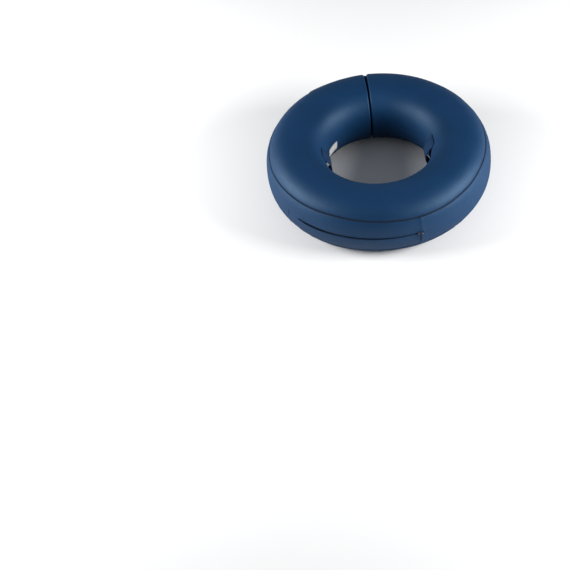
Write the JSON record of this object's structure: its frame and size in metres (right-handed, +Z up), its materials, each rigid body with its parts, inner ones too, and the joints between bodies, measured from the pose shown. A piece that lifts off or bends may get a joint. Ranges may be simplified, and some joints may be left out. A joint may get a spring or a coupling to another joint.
{
  "type": "inflatable pet recovery collar",
  "caption": "Inflatable ring collar for a pet: fabric cover with a zip, air bladder with a valve, neck loops and a hook-and-loop flap over the split.",
  "frame": {"origin": "on the ring's axis, in the plane the ring lies on", "axes": "+Z up along the ring's axis; -Y towards the front, where the zip is; the split and its flap are at +Y"},
  "size_m": [0.34, 0.344, 0.0948],
  "materials": {
    "cover_fabric": "coated woven fabric with a soft sheen",
    "seam_thread": "sunk seam with stitching",
    "bladder_film": "clear vinyl film",
    "zip_tape": "woven tape and nylon coil",
    "zip_metal": "dark painted metal",
    "strap_webbing": "woven webbing",
    "hook_and_loop": "hook-and-loop pile",
    "valve_plastic": "soft translucent vinyl",
    "label_fabric": "blank satin label"
  },
  "bodies": {
    "front_section": {"bladder_front": "bladder_film", "collar_loop_front": "strap_webbing", "cover_bottom_front": "cover_fabric", "cover_top_front": "cover_fabric", "lower_seam_front": "seam_thread", "neck_seam_front": "seam_thread", "side_band_front": "cover_fabric", "upper_seam_front": "seam_thread", "zip_bottom_stop": "zip_metal", "zip_coil_lower": "zip_tape", "zip_coil_upper": "zip_tape", "zip_tape_lower": "zip_tape", "zip_tape_upper": "zip_tape", "zip_top_stop_lower": "zip_metal", "zip_top_stop_upper": "zip_metal"},
    "left_arm": {"bladder_left": "bladder_film", "collar_loop_left": "strap_webbing", "cover_bottom_left": "cover_fabric", "cover_top_left": "cover_fabric", "end_panel_left": "cover_fabric", "lower_seam_left": "seam_thread", "neck_seam_left": "seam_thread", "side_band_left": "cover_fabric", "upper_seam_left": "seam_thread", "loop_pad": "hook_and_loop", "care_label": "label_fabric"},
    "right_arm": {"bladder_right": "bladder_film", "collar_loop_right": "strap_webbing", "cover_bottom_right": "cover_fabric", "cover_top_right": "cover_fabric", "end_panel_right": "cover_fabric", "lower_seam_right": "seam_thread", "neck_seam_right": "seam_thread", "side_band_right": "cover_fabric", "upper_seam_right": "seam_thread", "strap_base": "strap_webbing", "valve_eyelet": "valve_plastic", "valve_flange": "valve_plastic"},
    "closure_flap": {"closure_flap": "strap_webbing", "hook_pad": "hook_and_loop", "flap_grip": "valve_plastic"},
    "zip_slider": {"zip_slider": "zip_metal"},
    "zip_pull": {"zip_pull": "zip_tape"},
    "valve_stem": {"valve_stem": "valve_plastic"},
    "valve_cap": {"valve_cap": "valve_plastic"}
  },
  "joints": [
    {"name": "right_arm_open", "type": "hinge", "parent": "front_section", "child": "right_arm", "pos_m": [0.15576, -0.06935, 0.04742], "axis": [0, 0, -1], "range_deg": [0, 18], "stiffness_Nm_per_rad": 2},
    {"name": "left_arm_open", "type": "hinge", "parent": "front_section", "child": "left_arm", "pos_m": [-0.15576, -0.06935, 0.04742], "axis": [0, 0, 1], "range_deg": [0, 18], "stiffness_Nm_per_rad": 2},
    {"name": "flap_peel", "type": "hinge", "parent": "right_arm", "child": "closure_flap", "pos_m": [0.00456, 0.17404, 0.04742], "axis": [0, 0, -1], "range_deg": [0, 110]},
    {"name": "zip_slide", "type": "hinge", "parent": "front_section", "child": "zip_slider", "pos_m": [0, 0, 0.04742], "axis": [0, 0, 1], "range_deg": [-63.5, 0]},
    {"name": "pull_swing", "type": "hinge", "parent": "zip_slider", "child": "zip_pull", "pos_m": [0.04185, -0.16786, 0.04742], "axis": [-0.9703, -0.2419, 0], "range_deg": [0, 150]},
    {"name": "valve_stem_pull", "type": "slide", "parent": "right_arm", "child": "valve_stem", "axis": [0.788, 0.6157, 0], "range_m": [0, 0.01]},
    {"name": "valve_cap_open", "type": "hinge", "parent": "valve_stem", "child": "valve_cap", "pos_m": [0.13562, 0.10595, 0.03922], "axis": [-0.6157, 0.788, 0], "range_deg": [0, 110]}
  ],
  "couplings": [
    {"joint": "left_arm_open", "follows": "right_arm_open", "ratio": 1},
    {"joint": "flap_peel", "follows": "right_arm_open", "ratio": 6.1}
  ]
}
